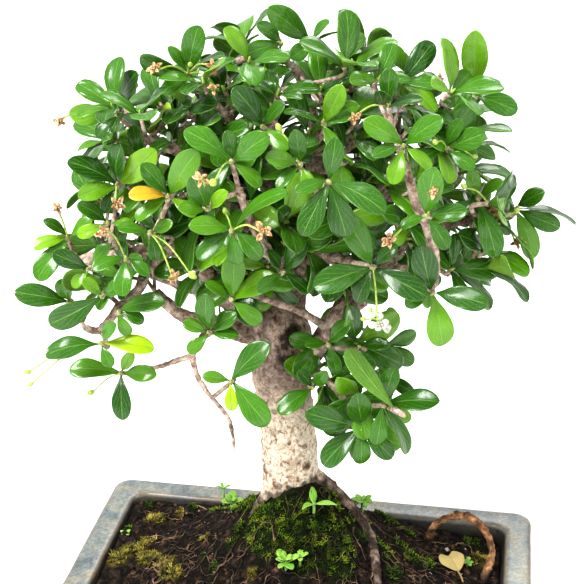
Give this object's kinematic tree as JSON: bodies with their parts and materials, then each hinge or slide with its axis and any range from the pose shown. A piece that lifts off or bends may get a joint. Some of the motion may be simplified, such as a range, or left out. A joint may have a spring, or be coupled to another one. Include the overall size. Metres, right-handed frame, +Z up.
{
  "type": "fukien tea bonsai in a pot",
  "caption": "A small indoor bonsai with a stout forked trunk and glossy dark green leaf rosettes, standing on a soil mound in a shallow rectangular glazed pot.",
  "frame": {"origin": "middle of the flat underside of the pot", "axes": "+X along the long side of the pot, to the right as seen from the front; +Y towards the back of the pot; +Z up along the trunk"},
  "size_m": [0.2614, 0.2211, 0.3554],
  "materials": {
    "glaze": "glossy",
    "soil": "matte",
    "bark": "rough",
    "root_bark": "rough",
    "leaf": "glossy",
    "young_leaf": "satin",
    "dry_leaf": "matte"
  },
  "bodies": {
    "root": {"arched_root": "root_bark", "fallen_leaf": "dry_leaf", "pot": "glaze", "seedling": "young_leaf", "soil": "soil", "spray_across_tip": "leaf", "spray_bare_tip": "leaf", "spray_by_trunk_left": "leaf", "spray_by_trunk_right": "leaf", "spray_centre_left": "leaf", "spray_centre_low": "leaf", "spray_crown_front": "leaf", "spray_crown_left": "leaf", "spray_front_right_star": "leaf", "spray_front_star": "leaf", "spray_hanging_right": "leaf", "spray_high_right": "leaf", "spray_high_right_mid": "leaf", "spray_inner_1": "leaf", "spray_inner_10": "leaf", "spray_inner_11": "leaf", "spray_inner_12": "leaf", "spray_inner_13": "leaf", "spray_inner_14": "leaf", "spray_inner_15": "leaf", "spray_inner_17": "leaf", "spray_inner_18": "leaf", "spray_inner_19": "leaf", "spray_inner_2": "leaf", "spray_inner_20": "leaf", "spray_inner_3": "leaf", "spray_inner_4": "leaf", "spray_inner_5": "leaf", "spray_inner_6": "leaf", "spray_inner_7": "leaf", "spray_inner_8": "leaf", "spray_inner_9": "leaf", "spray_left_edge": "leaf", "spray_left_fan": "leaf", "spray_left_inner": "leaf", "spray_left_lower": "leaf", "spray_low_left_cross": "leaf", "spray_low_left_pair": "leaf", "spray_low_right_fan": "leaf", "spray_mid_left": "leaf", "spray_mid_left_high": "leaf", "spray_right_end": "leaf", "spray_right_fork": "leaf", "spray_right_middle": "leaf", "spray_right_shoulder": "leaf", "spray_shoulder_left": "leaf", "spray_top_front": "leaf", "spray_top_tip": "leaf", "spray_upper_middle": "leaf", "spray_upper_right": "leaf", "tree": "bark", "weed_front": "young_leaf", "weed_left": "young_leaf", "weed_right": "young_leaf"}
  },
  "joints": []
}
